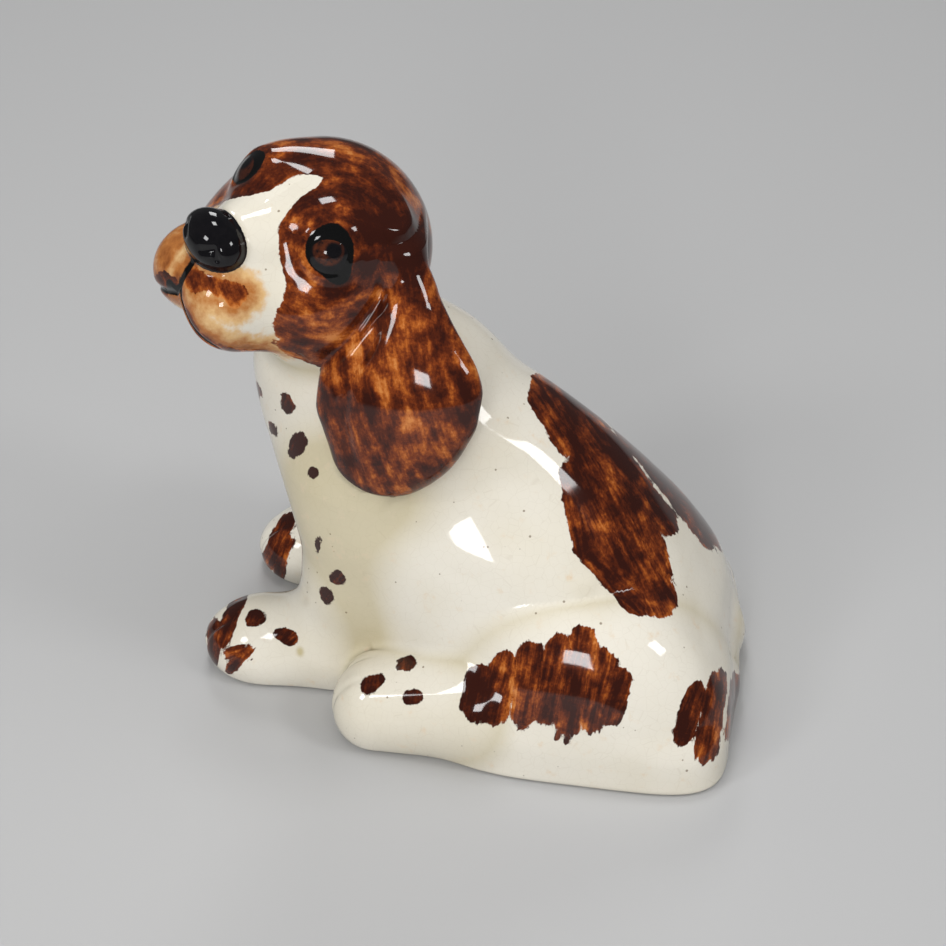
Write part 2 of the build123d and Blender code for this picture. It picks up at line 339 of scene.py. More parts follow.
# %% Ears
# height above the head's centre, places to the left of it and behind it, half thickness, half breadth
EAR = [
    (-45.6, 26.5, 22.9, 0.4, 0.6),
    (-45.2, 26.5, 22.9, 1.8, 3.0),
    (-44.2, 26.5, 22.9, 3.2, 5.6),
    (-41.5, 26.5, 23.0, 4.6, 9.6),
    (-37.0, 26.3, 23.3, 5.6, 13.4),
    (-31.5, 25.8, 23.4, 6.2, 16.4),
    (-26.0, 24.8, 23.7, 6.5, 18.3),
    (-20.5, 23.4, 24.3, 6.6, 18.4),
    (-15.5, 21.6, 25.0, 6.5, 16.4),
    (-10.5, 19.2, 25.3, 6.2, 12.4),
    (-6.5, 16.8, 25.2, 5.9, 9.2),
    (-2.0, 13.8, 25.0, 5.4, 6.2),
    (3.5, 11.0, 23.2, 4.6, 4.8),
    (7.6, 9.4, 21.0, 3.0, 3.4),
    (9.2, 9.0, 20.4, 0.4, 0.6),
]
# The turned head brings the right ear forward, up and out
RIGHT_EAR = {"root": 22.0, "turn": -30.0, "forward": 28.0, "raise": 5.0}


def ear(p, side):
    """Flat turned ovals from a thin root to a broad rounded end, with a groove behind the rolled front edge."""
    q, root, turn = p, EAR[-1][1], np.radians(-4.0)
    if side < 0:
        q = np.array([-p[0], p[1] + RIGHT_EAR["forward"], p[2] - RIGHT_EAR["raise"]])
        root, turn = RIGHT_EAR["root"], np.radians(RIGHT_EAR["turn"])
    rise = q[2] - HEAD_Z
    left, behind, thick, broad = levels_at(rise, EAR)
    x, y = q[0] - np.maximum(left, root), q[1] - HEAD_Y - behind
    x, y = np.cos(turn) * x + np.sin(turn) * y, np.cos(turn) * y - np.sin(turn) * x
    k = np.sqrt((x / thick) ** 2 + (y / broad) ** 2)
    g = np.sqrt((x / thick**2) ** 2 + (y / broad**2) ** 2)
    flat = meet(meet(k * (k - 1) / np.maximum(g, 1e-9), rise - EAR[-1][0], 1.5), EAR[0][0] - rise, 1.5)
    hanging = np.clip((rise + 40) / 10, 0, 1) * np.clip((-4 - rise) / 8, 0, 1)
    groove = dent(y + 0.62 * broad - 0.5, 1.0, 1.7) * np.clip((x + 1) / 3, 0, 1)
    return 0.8 * flat + groove * hanging


def ear_joint(p, side):
    """Width of the fillet between an ear and the head: wide at the root, narrow where the ear hangs free."""
    rise = p[2] - HEAD_Z - (0 if side > 0 else RIGHT_EAR["raise"])
    return 1.5 + (11 if side > 0 else 4) * np.clip((rise + 1) / 8, 0, 1)


print("ear", round(EAR[-1][0] - EAR[0][0], 1), "mm long")

# %% [markdown]
# ## One skin for all pieces
# The glaze runs over the whole figure, so every piece lies on the same joined field.
# Cutting one big mesh into pieces would leave open edges. Here each piece stays a closed skin instead:
# inside a neighbour it dips below the joined surface, a little at first and then to its own shape.

# %% Joined field
SHAPES = {
    "torso": (torso, 0),
    "head": (head, 6),
    "nose": (nose, 1.6),
    "left_eye": (lambda p: eye(p, "left_eye"), 0.6),
    "right_eye": (lambda p: eye(p, "right_eye"), 0.6),
    "left_ear": (lambda p: ear(p, 1), lambda p: ear_joint(p, 1)),
    "right_ear": (lambda p: ear(p, -1), lambda p: ear_joint(p, -1)),
    "left_foreleg": (lambda p: foreleg(p, 1, LEFT_PAW), 12),
    "right_foreleg": (lambda p: foreleg(p, -1, RIGHT_PAW), 12),
    "left_haunch": (lambda p: haunch(p, 1), 4),
    "right_haunch": (lambda p: haunch(p, -1), 4),
    "left_hind_foot": (lambda p: hind_foot(p, 1), 4),
    "right_hind_foot": (lambda p: hind_foot(p, -1), 4),
    "tail": (tail, 5),
}
FORELEGS, HAUNCHES = ["left_foreleg", "right_foreleg"], ["left_haunch", "right_haunch"]
# the neighbours that each skin is joined with
BESIDE = {
    "torso": list(SHAPES),
    "head": ["torso", "head", "nose", "left_eye", "right_eye", "left_ear", "right_ear"],
    "nose": ["head", "nose"],
    "left_eye": ["head", "left_eye"],
    "right_eye": ["head", "right_eye"],
    "left_ear": ["torso", "head", "left_ear", "left_foreleg"],
    "right_ear": ["torso", "head", "right_ear", "right_foreleg"],
    "left_foreleg": ["torso", "head", "left_ear", *FORELEGS, "left_haunch", "left_hind_foot"],
    "right_foreleg": ["torso", "head", "right_ear", *FORELEGS, "right_haunch", "right_hind_foot"],
    "left_haunch": ["torso", "left_foreleg", *HAUNCHES, "left_hind_foot", "tail"],
    "right_haunch": ["torso", "right_foreleg", *HAUNCHES, "right_hind_foot", "tail"],
    "left_hind_foot": ["torso", "left_foreleg", "left_haunch", "left_hind_foot"],
    "right_hind_foot": ["torso", "right_foreleg", "right_haunch", "right_hind_foot"],
    "tail": ["torso", "left_haunch", "right_haunch", "tail"],
}
SLAB, WALL, FOOT_ROUNDING = 5.0, 5.0, 1.6


def joined(p, piece):
    """The joined field, how far a point is past the piece's seam, and the thickness of the fillet there."""
    whole, own, other, nearest = None, None, None, None
    for name in BESIDE[piece]:
        shape, width = SHAPES[name]
        value = shape(p)
        width = width(p) if callable(width) else max(width, 0.2)
        whole = value if whole is None else join(whole, value, width)
        nearest = value if nearest is None else np.minimum(nearest, value)
        if name == piece:
            own = value
        else:
            other = value if other is None else join(other, value, width)
    return meet(whole, -p[2], FOOT_ROUNDING), np.maximum(own - other, 0), nearest - whole


def skin_field(p, piece):
    """The field of one piece: the joined field in its own region, sinking in its neighbours'."""
    whole, past, _ = joined(p, piece)
    whole = whole + past**2 / (past + 1)
    if piece == "torso":
        chest, back, half, squareness = levels_at(0 * p[2], TORSO)
        pocket = oval_stack(p, chest + WALL, back - WALL, WALL - half, half - WALL, squareness)
        whole = np.maximum(whole, -np.maximum(pocket, p[2] - SLAB))
    return whole


print("shapes in the field", len(SHAPES))

# %% [markdown]
# ## Skins as grids
# A skin is a grid of rays that leave a curved line inside the piece: round it, and over both its ends.
# On each ray the surface is found by halving. If the middle is inside the clay, the outer half is kept.
# Remeshing a volume would also work, but a grid closes exactly at its seam and poles and gives even quads.

# %% Lines and grids
# start, middle and end of the line inside each piece
LINES = {
    "torso": [(0, 20, 16), (0, 8, 50), (0, -28, 88)],
    "head": [from_head(0, -6, 1), from_head(0, 6, -1), from_head(0, 18, -8)],
    "nose": [from_head(shift, *NOSE_CENTRE[1:]) for shift in (-1.5, 0, 1.5)],
    "left_ear": [(10.8, -13.3, 113), (24.4, -8.7, 97.5), (26.3, -12.6, 72)],
    "right_ear": [(-22, -41.8, 118), (-21.9, -37.4, 102.5), (-26.3, -40.6, 77)],
    "left_foreleg": [(12.5, -22, 56), (14.5, -24, 8), (15.5, -50, 6)],
    "right_foreleg": [(-21, -18.5, 56), (-23, -20.5, 8), (-24, -46.5, 6)],
    "left_haunch": [(27, 12, 13), (27, 30, 15), (27, 50, 13)],
    "right_haunch": [(-27, 4, 9), (-27, 22, 11), (-27, 42, 9)],
    "left_hind_foot": [(36, 8, 8.5), (36, -5, 8), (36, -17, 7)],
    "right_hind_foot": [(-36, 8, 8.5), (-36, -5, 8), (-36, -17, 7)],
    "tail": [(12, 61, 6), (-6, 61.5, 6.5), (-23, 58, 7)],
}
for name, (middle, out) in EYES.items():
    LINES[name] = [from_head(*(np.array(middle) + shift * np.array(out))) for shift in (-0.5, 0.5, 1.5)]
# longest ray, rows, columns
GRIDS = {
    "torso": (80, 260, 300),
    "head": (45, 260, 260),
    "nose": (14, 90, 96),
    "left_eye": (9, 90, 96),
    "right_eye": (9, 60, 64),
    "left_ear": (34, 240, 200),
    "right_ear": (34, 200, 160),
    "left_foreleg": (34, 260, 180),
    "right_foreleg": (34, 220, 150),
    "left_haunch": (40, 240, 240),
    "right_haunch": (40, 180, 180),
    "left_hind_foot": (20, 160, 140),
    "right_hind_foot": (20, 120, 110),
    "tail": (10, 120, 60),
}
print("rays", sum(rows * columns for _, rows, columns in GRIDS.values()))

# %% Grid builder
NORMAL_STEP = 0.06


def rays(piece):
    """Starts and ways of a grid of rays: a bent line's normals, fanned out to a pole at each end."""
    reach, rows, columns = GRIDS[piece]
    a, b, c = np.array(LINES[piece], float)
    length = np.linalg.norm(b - a) + np.linalg.norm(c - b)
    cap = 0.8 * min(reach, 30)
    v = np.linspace(0, 1, rows)[:, None]
    whole = 2 * cap + length
    tilt = np.clip((v * whole - cap) / cap, -1, 0) + np.clip((v * whole - cap - length) / cap, 0, 1)
    t = np.clip((v * whole - cap) / length, 0, 1)
    starts = (1 - t) ** 2 * a + 2 * t * (1 - t) * b + t**2 * c
    along = (1 - t) * (b - a) + t * (c - b)
    along /= np.linalg.norm(along, axis=1, keepdims=True)
    aside = np.cross(along, [0.31, 0.95, 0.05] if abs(along[0, 1]) < 0.7 else [0.95, 0.05, 0.31])
    aside /= np.linalg.norm(aside, axis=1, keepdims=True)
    beside = np.cross(along, aside)
    turn = np.linspace(0, 2 * np.pi, columns, endpoint=False)[:, None, None]
    flat = np.cos(turn) * aside + np.sin(turn) * beside
    angle = tilt * np.pi / 2
    ways = np.cos(angle) * flat + np.sin(angle) * along
    return np.broadcast_to(starts, ways.shape), ways


def skin(piece, steps=17):
    """Points and normals of a piece, one row of the array for each point of its grid."""
    starts, ways = rays(piece)
    starts, ways = starts.reshape(-1, 3).T, ways.reshape(-1, 3).T
    near = np.zeros(starts.shape[1])
    far = np.full(starts.shape[1], float(GRIDS[piece][0]))
    for _ in range(steps):
        middle = (near + far) / 2
        outside = skin_field(starts + ways * middle, piece) > 0
        far = np.where(outside, middle, far)
        near = np.where(outside, near, middle)
    points = starts + ways * (near + far) / 2
    slope = np.zeros_like(points)
    for corner in ((1, -1, -1), (-1, -1, 1), (-1, 1, -1), (1, 1, 1)):
        way = np.reshape(corner, (3, 1)) * NORMAL_STEP
        slope += way * joined(points + way, piece)[0]
    return points.T, (slope / np.linalg.norm(slope, axis=0)).T


def closed_mesh(name, points, normals, rows, columns):
    """A mesh from a grid that closes round its columns and has a pole at each end of its rows."""
    grid = np.arange(rows * columns).reshape(columns, rows)
    after = np.roll(grid, -1, axis=0)
    quads = np.stack([grid[:, 1:-2], after[:, 1:-2], after[:, 2:-1], grid[:, 2:-1]], -1).reshape(-1, 4)
    south = np.stack([np.full(columns, grid[0, 0]), after[:, 1], grid[:, 1]], -1)
    north = np.stack([np.full(columns, grid[0, -1]), grid[:, -2], after[:, -2]], -1)
    corners = np.concatenate([quads.ravel(), south.ravel(), north.ravel()])
    used, index = np.unique(corners, return_inverse=True)
    count = quads.size
    faces = index[:count].reshape(-1, 4).tolist() + index[count:].reshape(-1, 3).tolist()
    mesh = bpy.data.meshes.new(name)
    mesh.from_pydata((points[used] * MM).tolist(), [], faces)
    mesh.polygons.foreach_set("use_smooth", np.ones(len(mesh.polygons), bool))
    mesh.update()
    mesh.normals_split_custom_set_from_vertices(normals[used].tolist())
    return mesh, points[used], normals[used]


# %% [markdown]
# ## Painting
# The painter worked with a flat bristle brush, so a patch is a bundle of strokes and a spot is one dab.
# Strokes are laid out on a plane that faces the puppy's left side from above, in millimetres.
# Each point of a skin stores how far inside the paint it is, and where it lies along and across the stroke.
# A painted image would need the skins unwrapped first. Stored distances don't.

# %% Strokes and dabs
VIEW_WAY = (100.0, 35.0)
PAINT_FACING = way_to(*VIEW_WAY)
view_turn = np.radians(VIEW_WAY[0])
PAINT_RIGHT = np.array([np.cos(view_turn), np.sin(view_turn), 0.0])
PAINT_UP = np.cross(PAINT_FACING, PAINT_RIGHT)
FLIP = np.array([[-1], [1], [1]])
# start, end and half width of each stroke
BACK_STROKES = [
    ((17, 60), (31.5, 35), 3.6),
    ((15.5, 57.5), (22, 47), 2.6),
    ((21.5, 58), (39, 35), 4.0),
    ((27.5, 53), (45, 30), 3.2),
    ((24.5, 39), (34, 19), 4.4),
    ((23.5, 35), (25.5, 24.5), 2.8),
    ((31.5, 35), (42, 14), 5.0),
    ((38, 32), (43, 20), 3.4),
    ((28, 22), (37, 12.5), 3.2),
    ((40, 45), (56, 25), 1.8),
]
HAUNCH_STROKES = [
    ((1.7, -6), (1, -11.5), 3.2),
    ((7.5, -3.5), (5.5, -12), 3.6),
    ((13.5, -0.5), (12, -12), 3.4),
    ((19.5, 0.5), (17, -11.5), 3.6),
    ((25, 2.5), (22, -14), 3.6),
    ((29, -2.5), (27, -13), 3.6),
    ((33, -6), (31, -12), 3.2),
    ((20.5, -14), (19.5, -19), 0.7),
    ((22.5, -15), (21.5, -20), 0.6),
    ((15, -14), (11.5, -16.5), 0.8),
]
REAR_STROKES = [
    ((50.5, -9), (48, -17), 2.6),
    ((56, -7.5), (53, -21), 3.0),
    ((62, -8.5), (60, -18), 2.4),
]
TOE_STROKES = [
    ((-62, 3), (-62.5, -3), 2.2),
    ((-56.5, 9.5), (-60, 1), 2.2),
    ((-58, -2.5), (-55, -1.5), 1.6),
    ((-58, -6), (-53, -1.5), 1.5),
]
FAR_TOE_STROKES = [((-51.5, 18.5), (-47.5, 27.5), 2.6), ((-49, 15), (-46.5, 24), 1.6)]
# middle, half length, half width and slant of each dab
DABS = [
    (-49.1, 60, 2.4, 1.2, 115),
    (-41.2, 56.6, 2.4, 1.6, 110),
    (-39.1, 47.2, 3.2, 2.2, 60),
    (-35.4, 40.9, 1.6, 1.4, 90),
    (-45.4, 51.2, 2.0, 0.9, 110),
    (-34.9, 24.9, 2.0, 1.0, 80),
    (-30.5, 16.8, 2.0, 1.8, 150),
    (-33.4, 12.4, 2.2, 1.7, 130),
    (-51.8, 6.1, 2.7, 1.9, 20),
    (-43.7, 1.9, 3.3, 2.1, 165),
    (-14.9, -3.0, 2.9, 1.7, 15),
    (-22.7, -7.3, 3.2, 1.9, 35),
    (-13.0, -10.1, 2.7, 1.8, 10),
]
print("strokes on the back and the haunch", len(BACK_STROKES) + len(HAUNCH_STROKES), "and dabs", len(DABS))

# %% Depth of the paint
OUTSIDE = -99.0


def stroke_paint(a, b, strokes):
    """Depth inside a bundle of strokes, place along and across the nearest one, and nearness to its end."""
    inside = np.full(a.shape, OUTSIDE)
    along, across, tip = np.zeros((3, *a.shape))
    for index, (start, end, half) in enumerate(strokes):
        length = np.hypot(end[0] - start[0], end[1] - start[1])
        way = ((end[0] - start[0]) / length, (end[1] - start[1]) / length)
        u = (a - start[0]) * way[0] + (b - start[1]) * way[1]
        v = (b - start[1]) * way[0] - (a - start[0]) * way[1]
        over = np.maximum(np.maximum(-u, u - length), 0)
        depth = half - np.hypot(over * 0.8, v)
        best = depth > inside
        inside = np.where(best, depth, inside)
        along = np.where(best, u + 31 * index, along)
        across = np.where(best, v + 17 * index, across)
        near_end = np.clip((u - length + 4) / 4, 0, 1) + 0.6 * np.clip((2 - u) / 4, 0, 1)
        tip = np.where(best, near_end, tip)
    return inside, along, across, tip


def dab_paint(a, b):
    """How far inside the nearest dab a point is."""
    inside = np.full(a.shape, OUTSIDE)
    for x, y, long, short, slant in DABS:
        c, s = np.cos(np.radians(slant)), np.sin(np.radians(slant))
        u, v = (a - x) * c + (b - y) * s, (b - y) * c - (a - x) * s
        inside = np.maximum(inside, (1 - np.hypot(u / long, v / short)) * short)
    return inside


# %% [markdown]
# ## The painted face
# The face is brown but for a blaze that widens to the muzzle. Its two edges are curves in the head's frame.
# Black line goes round the eyes and along the mouth, and amber is blushed over the lips.
# An image texture could hold all this, but formulas stay sharp at any size.

# %% Face
# height, then the blaze's right and left edges
BLAZE = [
    (-24.0, -18.5, 18.0),
    (-14.0, -18.0, 18.2),
    (-5.7, -16.2, 16.9),
    (-1.1, -13.8, 15.0),
    (2.4, -10.6, 11.8),
    (6.5, -6.7, 8.6),
    (9.3, -4.0, 6.6),
    (12.6, -2.0, 5.0),
    (15.4, -1.4, 4.8),
    (17.0, -1.0, 4.6),
    (18.2, 0.2, 4.2),
    (18.9, 1.4, 3.2),
]
RIM = {"left_eye": 5.2, "right_eye": 4.5}
UNPAINTED = -9.0
print("width of the blaze, muzzle to forehead", [round(left - right, 1) for _, right, left in BLAZE])


def swell(angle, degrees):
    """A soft bulge of a round outline at one angle: a bell curve of the angle from there."""
    away = np.angle(np.exp(1j * (angle - np.radians(degrees))))
    return np.exp(-((away / 0.5) ** 2))


def eye_outline(h, name):
    """How far a point is inside the painted rim of an eye: a round with a point at its lower back."""
    x, y, z = eye_plane(h, name)
    angle = np.arctan2(y, x)
    rim = RIM[name] * (1 + 0.5 * swell(angle, -42) + 0.12 * swell(angle, 105))
    return np.where(z > 0, rim - np.hypot(x, y), UNPAINTED)


def face_paint(p):
    """Brown depth, darkness, blush, black line depth and brush place over the head."""
    h = to_head(p)
    q = mirrored(h)
    left, forward, up = h
    right_edge, left_edge = levels_at(up, BLAZE)
    blaze = np.minimum(np.minimum(left - right_edge, left_edge - left), 19.2 - up)
    blaze = np.where(forward > 2, blaze, UNPAINTED)
    jaw = up + 17.0 + 0.1 * (forward - 10)
    brown = np.minimum(-blaze, jaw)
    lip = polyline(q, [(6, 31, -16.5), (10, 28.5, -19.5), (13, 24, -20.5), (16, 17, -19.5)])
    patch = 2.6 - limb(h, (2.0, 31.5, -8.5), (11.5, 27.5, -6), 0, 0)
    corner = 2.2 - polyline(h, [(-2, 30.4, -13.2), (-5, 31.4, -14.6)])
    brown = np.maximum(brown, np.maximum(np.maximum(2.6 - lip, patch), corner))
    far_lip = np.clip((-2.5 - left) / 3, 0, 1) * np.clip((forward - 12) / 6, 0, 1)
    far_lip = far_lip * np.clip((4 - up) / 6, 0, 1)
    cheek = np.clip(1 - (left - left_edge) / 7, 0, 1) * np.clip((-1 - up) / 4, 0, 1) * (left > 0)
    dark = 0.54 - 0.36 * cheek + 0.4 * np.clip(patch, 0, 1) + 0.25 * np.clip(3 - lip, 0, 1)
    blush = 0.95 * np.clip((10.5 - lip) / 9, 0, 1) * (forward > 8)
    by_mouth = 0.8 * np.clip((6.5 - mouth_line(q)) / 5, 0, 1) * (forward > 20) * (up < -5)
    blush = np.maximum(blush, by_mouth)
    blush = np.maximum(blush, np.clip((6 + patch) / 8, 0, 0.6) * (left > 1))
    blush = np.maximum(blush, 0.75 * far_lip)
    mouth = np.where(forward > 18, 0.75 - mouth_line(q), UNPAINTED)
    ink = np.maximum(np.maximum(eye_outline(h, "left_eye"), eye_outline(h, "right_eye")), mouth)
    spot = np.where(forward > 18, 1.6 - np.hypot(left + 2.4, up + 14.2), UNPAINTED)
    ink = np.maximum(ink, spot)
    x, y, _ = eye_plane(h, "left_eye")
    return brown, dark, blush, ink, np.arctan2(y, x) * 12, np.hypot(x, y)


# %% [markdown]
# ## Paint on the skins
# The paint is stored on the skin's points as attributes, which the materials read.
# Strokes are projected along the plane's normal, so points that face away from it are left out.
# The right side is a guess: the same strokes are mirrored there and shifted a little.

# %% Paint of the body
# limits of what the plane sees: how far a point may face away, and the depth where the far side starts
GRAZING, FAR_DEPTH, MIRROR_EDGE = -0.15, -4.0, -6.0


def on_plane(p, n):
    """Place to the right and up on the paint's plane, depth along its normal, and how much a point faces it."""
    return PAINT_RIGHT @ p, PAINT_UP @ p, PAINT_FACING @ p, PAINT_FACING @ n


def body_paint(p, n, piece):
    """Depth, darkness, place along and across the bristles, raggedness of the body's paint, and its drip."""
    a, b, depth, seen = on_plane(p, n)
    left_side = np.where((seen > GRAZING) & (depth > FAR_DEPTH), 0, OUTSIDE)
    far_side = np.where((seen > GRAZING) & (depth <= FAR_DEPTH), 0, OUTSIDE)
    ma, mb, depth, seen = on_plane(p * FLIP, n * FLIP)
    mirror_seen = (seen > GRAZING) & (depth > FAR_DEPTH) & (p[0] < MIRROR_EDGE)
    mirror_side = np.where(mirror_seen, 0, OUTSIDE)
    haunch_side = mirror_side if piece != "torso" else mirror_side + OUTSIDE
    brown, along, across, ragged = np.full(a.shape, OUTSIDE), a * 0.16, b, np.zeros(a.shape)
    bundles = [
        (BACK_STROKES, a, b, left_side),
        (HAUNCH_STROKES, a, b, left_side),
        (REAR_STROKES, a, b, left_side),
        (TOE_STROKES, a, b, left_side),
        (FAR_TOE_STROKES, a, b, far_side),
        (HAUNCH_STROKES, ma + 4, mb + 5, haunch_side),
        (BACK_STROKES, ma - 9, mb + 4, mirror_side),
    ]
    for strokes, x, y, side in bundles:
        inside, u, v, tip = stroke_paint(x, y, strokes)
        inside = inside + side
        best = inside > brown
        brown = np.where(best, inside, brown)
        along, across = np.where(best, u * 0.12, along), np.where(best, v * 0.8, across)
        ragged = np.where(best, 0.2 + 0.45 * tip, ragged)
    dark = 0.52 + 0.2 * np.clip(brown / 3, 0, 1)
    dab = np.maximum(dab_paint(a, b) + left_side, dab_paint(ma + 1.5, mb - 1) + mirror_side)
    best = dab > brown
    brown, dark, ragged = np.where(best, dab, brown), np.where(best, 0.8, dark), np.where(best, 0.2, ragged)
    drip = np.clip(1.6 - np.hypot((a + 40.5) * 1.3, b + 1.5), 0, 1) + left_side
    return brown, dark, along, across, ragged, drip


# %% Store the paint on a skin
def iris_paint(p, piece):
    """Strength of the iris: a ring round an eye's pupil, and nothing on the other pieces."""
    if piece not in EYES:
        return np.zeros(p.shape[1])
    x, y, _ = eye_plane(to_head(p), piece)
    pupil, ring = np.hypot(x - 0.9, y - 0.2), np.hypot(x + 0.2, y + 0.2)
    iris = np.clip((pupil - 1.5) / 0.7, 0, 1) * np.clip((3.5 - ring) / 0.6, 0, 1)
    return iris * (1.0 if piece == "left_eye" else 0.5)


def paint(mesh, p, n, piece):
    """Stores the paint as attributes of the mesh's points."""
    brown, dark, along, across, ragged, drip = body_paint(p, n, piece)
    blush, ink = np.zeros(brown.shape), np.full(brown.shape, UNPAINTED)
    if piece in BESIDE["head"]:
        face, face_dark, face_blush, face_ink, u, v = face_paint(p)
        on_head = -UNPAINTED if piece != "torso" else 0.8 - head(p)
        face = np.minimum(face, on_head)
        best = face > brown
        brown, dark = np.where(best, face, brown), np.where(best, face_dark, dark)
        along, across = np.where(best, u * 0.13, along), np.where(best, v * 0.42, across)
        ragged = np.where(best, 0.45, ragged)
        blush, ink = face_blush * (on_head > 0), np.where(on_head > 0, face_ink, UNPAINTED)
    if piece in ("left_ear", "right_ear"):
        brown, dark, ragged, ink = brown * 0 + 6, dark * 0 + 0.5, ragged * 0, ink * 0 + UNPAINTED
        along, across = p[2] * 0.11, (p[1] + 0.3 * p[2]) * 0.42
    # Painted shade and pooled glaze: darker where the pieces meet in a crease, and at one drip.
    pool_and_shade = np.maximum(np.clip(joined(p, piece)[2] / 1.6, 0, 1), drip * 1.4)
    values = {"wash": np.clip(brown, -6, 6), "dark": dark, "blush": blush, "ink": np.clip(ink, -6, 6)}
    values.update({"pool_and_shade": pool_and_shade, "ragged": ragged, "iris": iris_paint(p, piece)})
    for key, value in values.items():
        mesh.attributes.new(key, "FLOAT", "POINT").data.foreach_set("value", value.astype(np.float32))
    bristle = np.stack([along, across, 0 * across], -1).astype(np.float32)
    mesh.attributes.new("bristle", "FLOAT_VECTOR", "POINT").data.foreach_set("vector", bristle.ravel())


# %% [markdown]
# ## The base slab
# A flat plate closes the hollow foot of the torso. A cylinder with a hole cut in it would need a boolean.
# Rings that run from the vent's edge to the outline, and back along the top, make the same plate without one.

# %% Base slab
SLAB_CLEARANCE, VENT_Y, VENT_RADIUS = 0.3, 36.0, 4.0


def slab():
    """A flat oval plate with a round vent: rings from the vent to the outline, and back on the top face."""
    turn = np.linspace(0, 2 * np.pi, 240, endpoint=False)[:, None]
    _, front, back, half, squareness = TORSO[0]
    front, back = front + WALL + SLAB_CLEARANCE, back - WALL - SLAB_CLEARANCE
    half = half - WALL - SLAB_CLEARANCE
    middle, long = (front + back) / 2, (back - front) / 2
    c, s = np.cos(turn), np.sin(turn)
    shape = (np.abs(c) ** squareness + np.abs(s) ** squareness) ** (-1 / squareness)
    rim = np.stack([half * c * shape, middle + long * s * shape], -1)
    hole = np.stack([VENT_RADIUS * c, VENT_Y + VENT_RADIUS * s], -1)
    out = np.array([0, 0.02, 0.3, 0.7, 0.985, 0.996, 1, 1, 0.99, 0.7, 0.3, 0.02, 0])[None, :, None]
    level = np.array([0.3, 0, 0, 0, 0, 0.1, 0.4, SLAB - 0.4, SLAB, SLAB, SLAB, SLAB, SLAB - 0.3])
    flat = hole + (rim - hole) * out
    return np.concatenate([flat, np.broadcast_to(level[None, :, None], (*flat.shape[:2], 1))], -1)


def ring_mesh(name, grid):
    """A mesh from a grid that closes both ways."""
    columns, rows = grid.shape[:2]
    index = np.arange(columns * rows).reshape(columns, rows)
    right, above = np.roll(index, -1, axis=0), np.roll(index, -1, axis=1)
    faces = np.stack([index, above, np.roll(right, -1, axis=1), right], -1).reshape(-1, 4)
    mesh = bpy.data.meshes.new(name)
    mesh.from_pydata((grid.reshape(-1, 3) * MM).tolist(), [], faces.tolist())
    mesh.update()
    return mesh


# %% [markdown]
# ## The pieces
# Each skin rides on the part's one body, takes the place of its node and names its material slot.
# The objects stay at the origin, because their points are already in the part's frame.

# %% Make the pieces
SLOTS = {entry["node"]: entry["material_slot"] for entry in frame["record"]["subparts"]}
made = {}
for name in SHAPES:
    rows, columns = GRIDS[name][1:]
    points, normals = skin(name)
    mesh, points, normals = closed_mesh(name + "_skin", points, normals, rows, columns)
    piece = bpy.data.objects.new(name + "_skin", mesh)
    bpy.context.scene.collection.objects.link(piece)
    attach(piece, "root")
    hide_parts(name)
    paint(piece.data, points.T, normals.T, name)
    made[name] = piece
    print(name, len(mesh.vertices), points.min(0).round(2), points.max(0).round(2))

base = bpy.data.objects.new("base_slab_plate", ring_mesh("base_slab_plate", slab()))
bpy.context.scene.collection.objects.link(base)
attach(base, "root")
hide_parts("base_slab")
print("base_slab", len(base.data.vertices), sum(face.area for face in base.data.polygons))

# %% [markdown]
# ## Nodes
# A material is a tree of nodes, which could be drawn by hand in the shader editor.
# These helpers add one node each and return its output, so that a tree reads like a sum.


# %% Node helpers
def put(tree, kind, settings=None, **inputs):
    """Adds a node, sets its inputs by name and links those that are sockets. Underscores stand for spaces."""
    node = tree.nodes.new(kind)
    for key, value in (settings or {}).items():
        setattr(node, key, value)
    for key, value in inputs.items():
        numbered = key[0] == "i" and key[1:].isdigit()
        socket = node.inputs[int(key[1:]) if numbered else key.replace("_", " ")]
        if isinstance(value, bpy.types.NodeSocket):
            tree.links.new(value, socket)
        else:
            socket.default_value = value
    return node


def sums(tree, operation, a, b=0.0, c=0.0):
    """One step of arithmetic in a shader."""
    return put(tree, "ShaderNodeMath", {"operation": operation}, i0=a, i1=b, i2=c).outputs[0]


def sway(tree, base, value, amount):
    """A base value that noise moves up and down: base + amount (noise - 1/2)."""
    return sums(tree, "MULTIPLY_ADD", sums(tree, "SUBTRACT", value, 0.5), amount, base)


def step(tree, value, low, high):
    """A soft step from 0 at low to 1 at high."""
    settings = {"interpolation_type": "SMOOTHSTEP"}
    return put(tree, "ShaderNodeMapRange", settings, Value=value, From_Min=low, From_Max=high).outputs[0]


def mixed(tree, share, a, b):
    """A colour between two."""
    return put(tree, "ShaderNodeMix", {"data_type": "RGBA"}, i0=share, i6=a, i7=b).outputs[2]


def stored(tree, name, output="Fac"):
    """A value that was stored on the mesh."""
    return put(tree, "ShaderNodeAttribute", {"attribute_name": name}).outputs[output]


def noise(tree, vector, scale, detail=2.0, rough=0.5):
    """Soft noise from 0 to 1."""
    inputs = {"Vector": vector, "Scale": scale, "Detail": detail, "Roughness": rough}
    return put(tree, "ShaderNodeTexNoise", **inputs).outputs["Fac"]


def ramp(tree, value, stops):
    """A row of colours along a value."""
    node = put(tree, "ShaderNodeValToRGB", Fac=value)
    elements = node.color_ramp.elements
    while len(elements) < len(stops):
        elements.new(0.5)
    for element, (place, colour) in zip(elements, stops):
        element.position, element.color = place, (*colour, 1)
    return node.outputs["Color"]


# %% Start of a material
def new_material(name):
    """A new material, its tree, its shader and the place on the part in millimetres."""
    material = bpy.data.materials.new(name)
    material.use_nodes = True
    tree = material.node_tree
    place = put(tree, "ShaderNodeTexCoord").outputs["Object"]
    in_mm = put(tree, "ShaderNodeVectorMath", {"operation": "SCALE"}, i0=place, Scale=1 / MM).outputs[0]
    return material, tree, tree.nodes["Principled BSDF"], in_mm


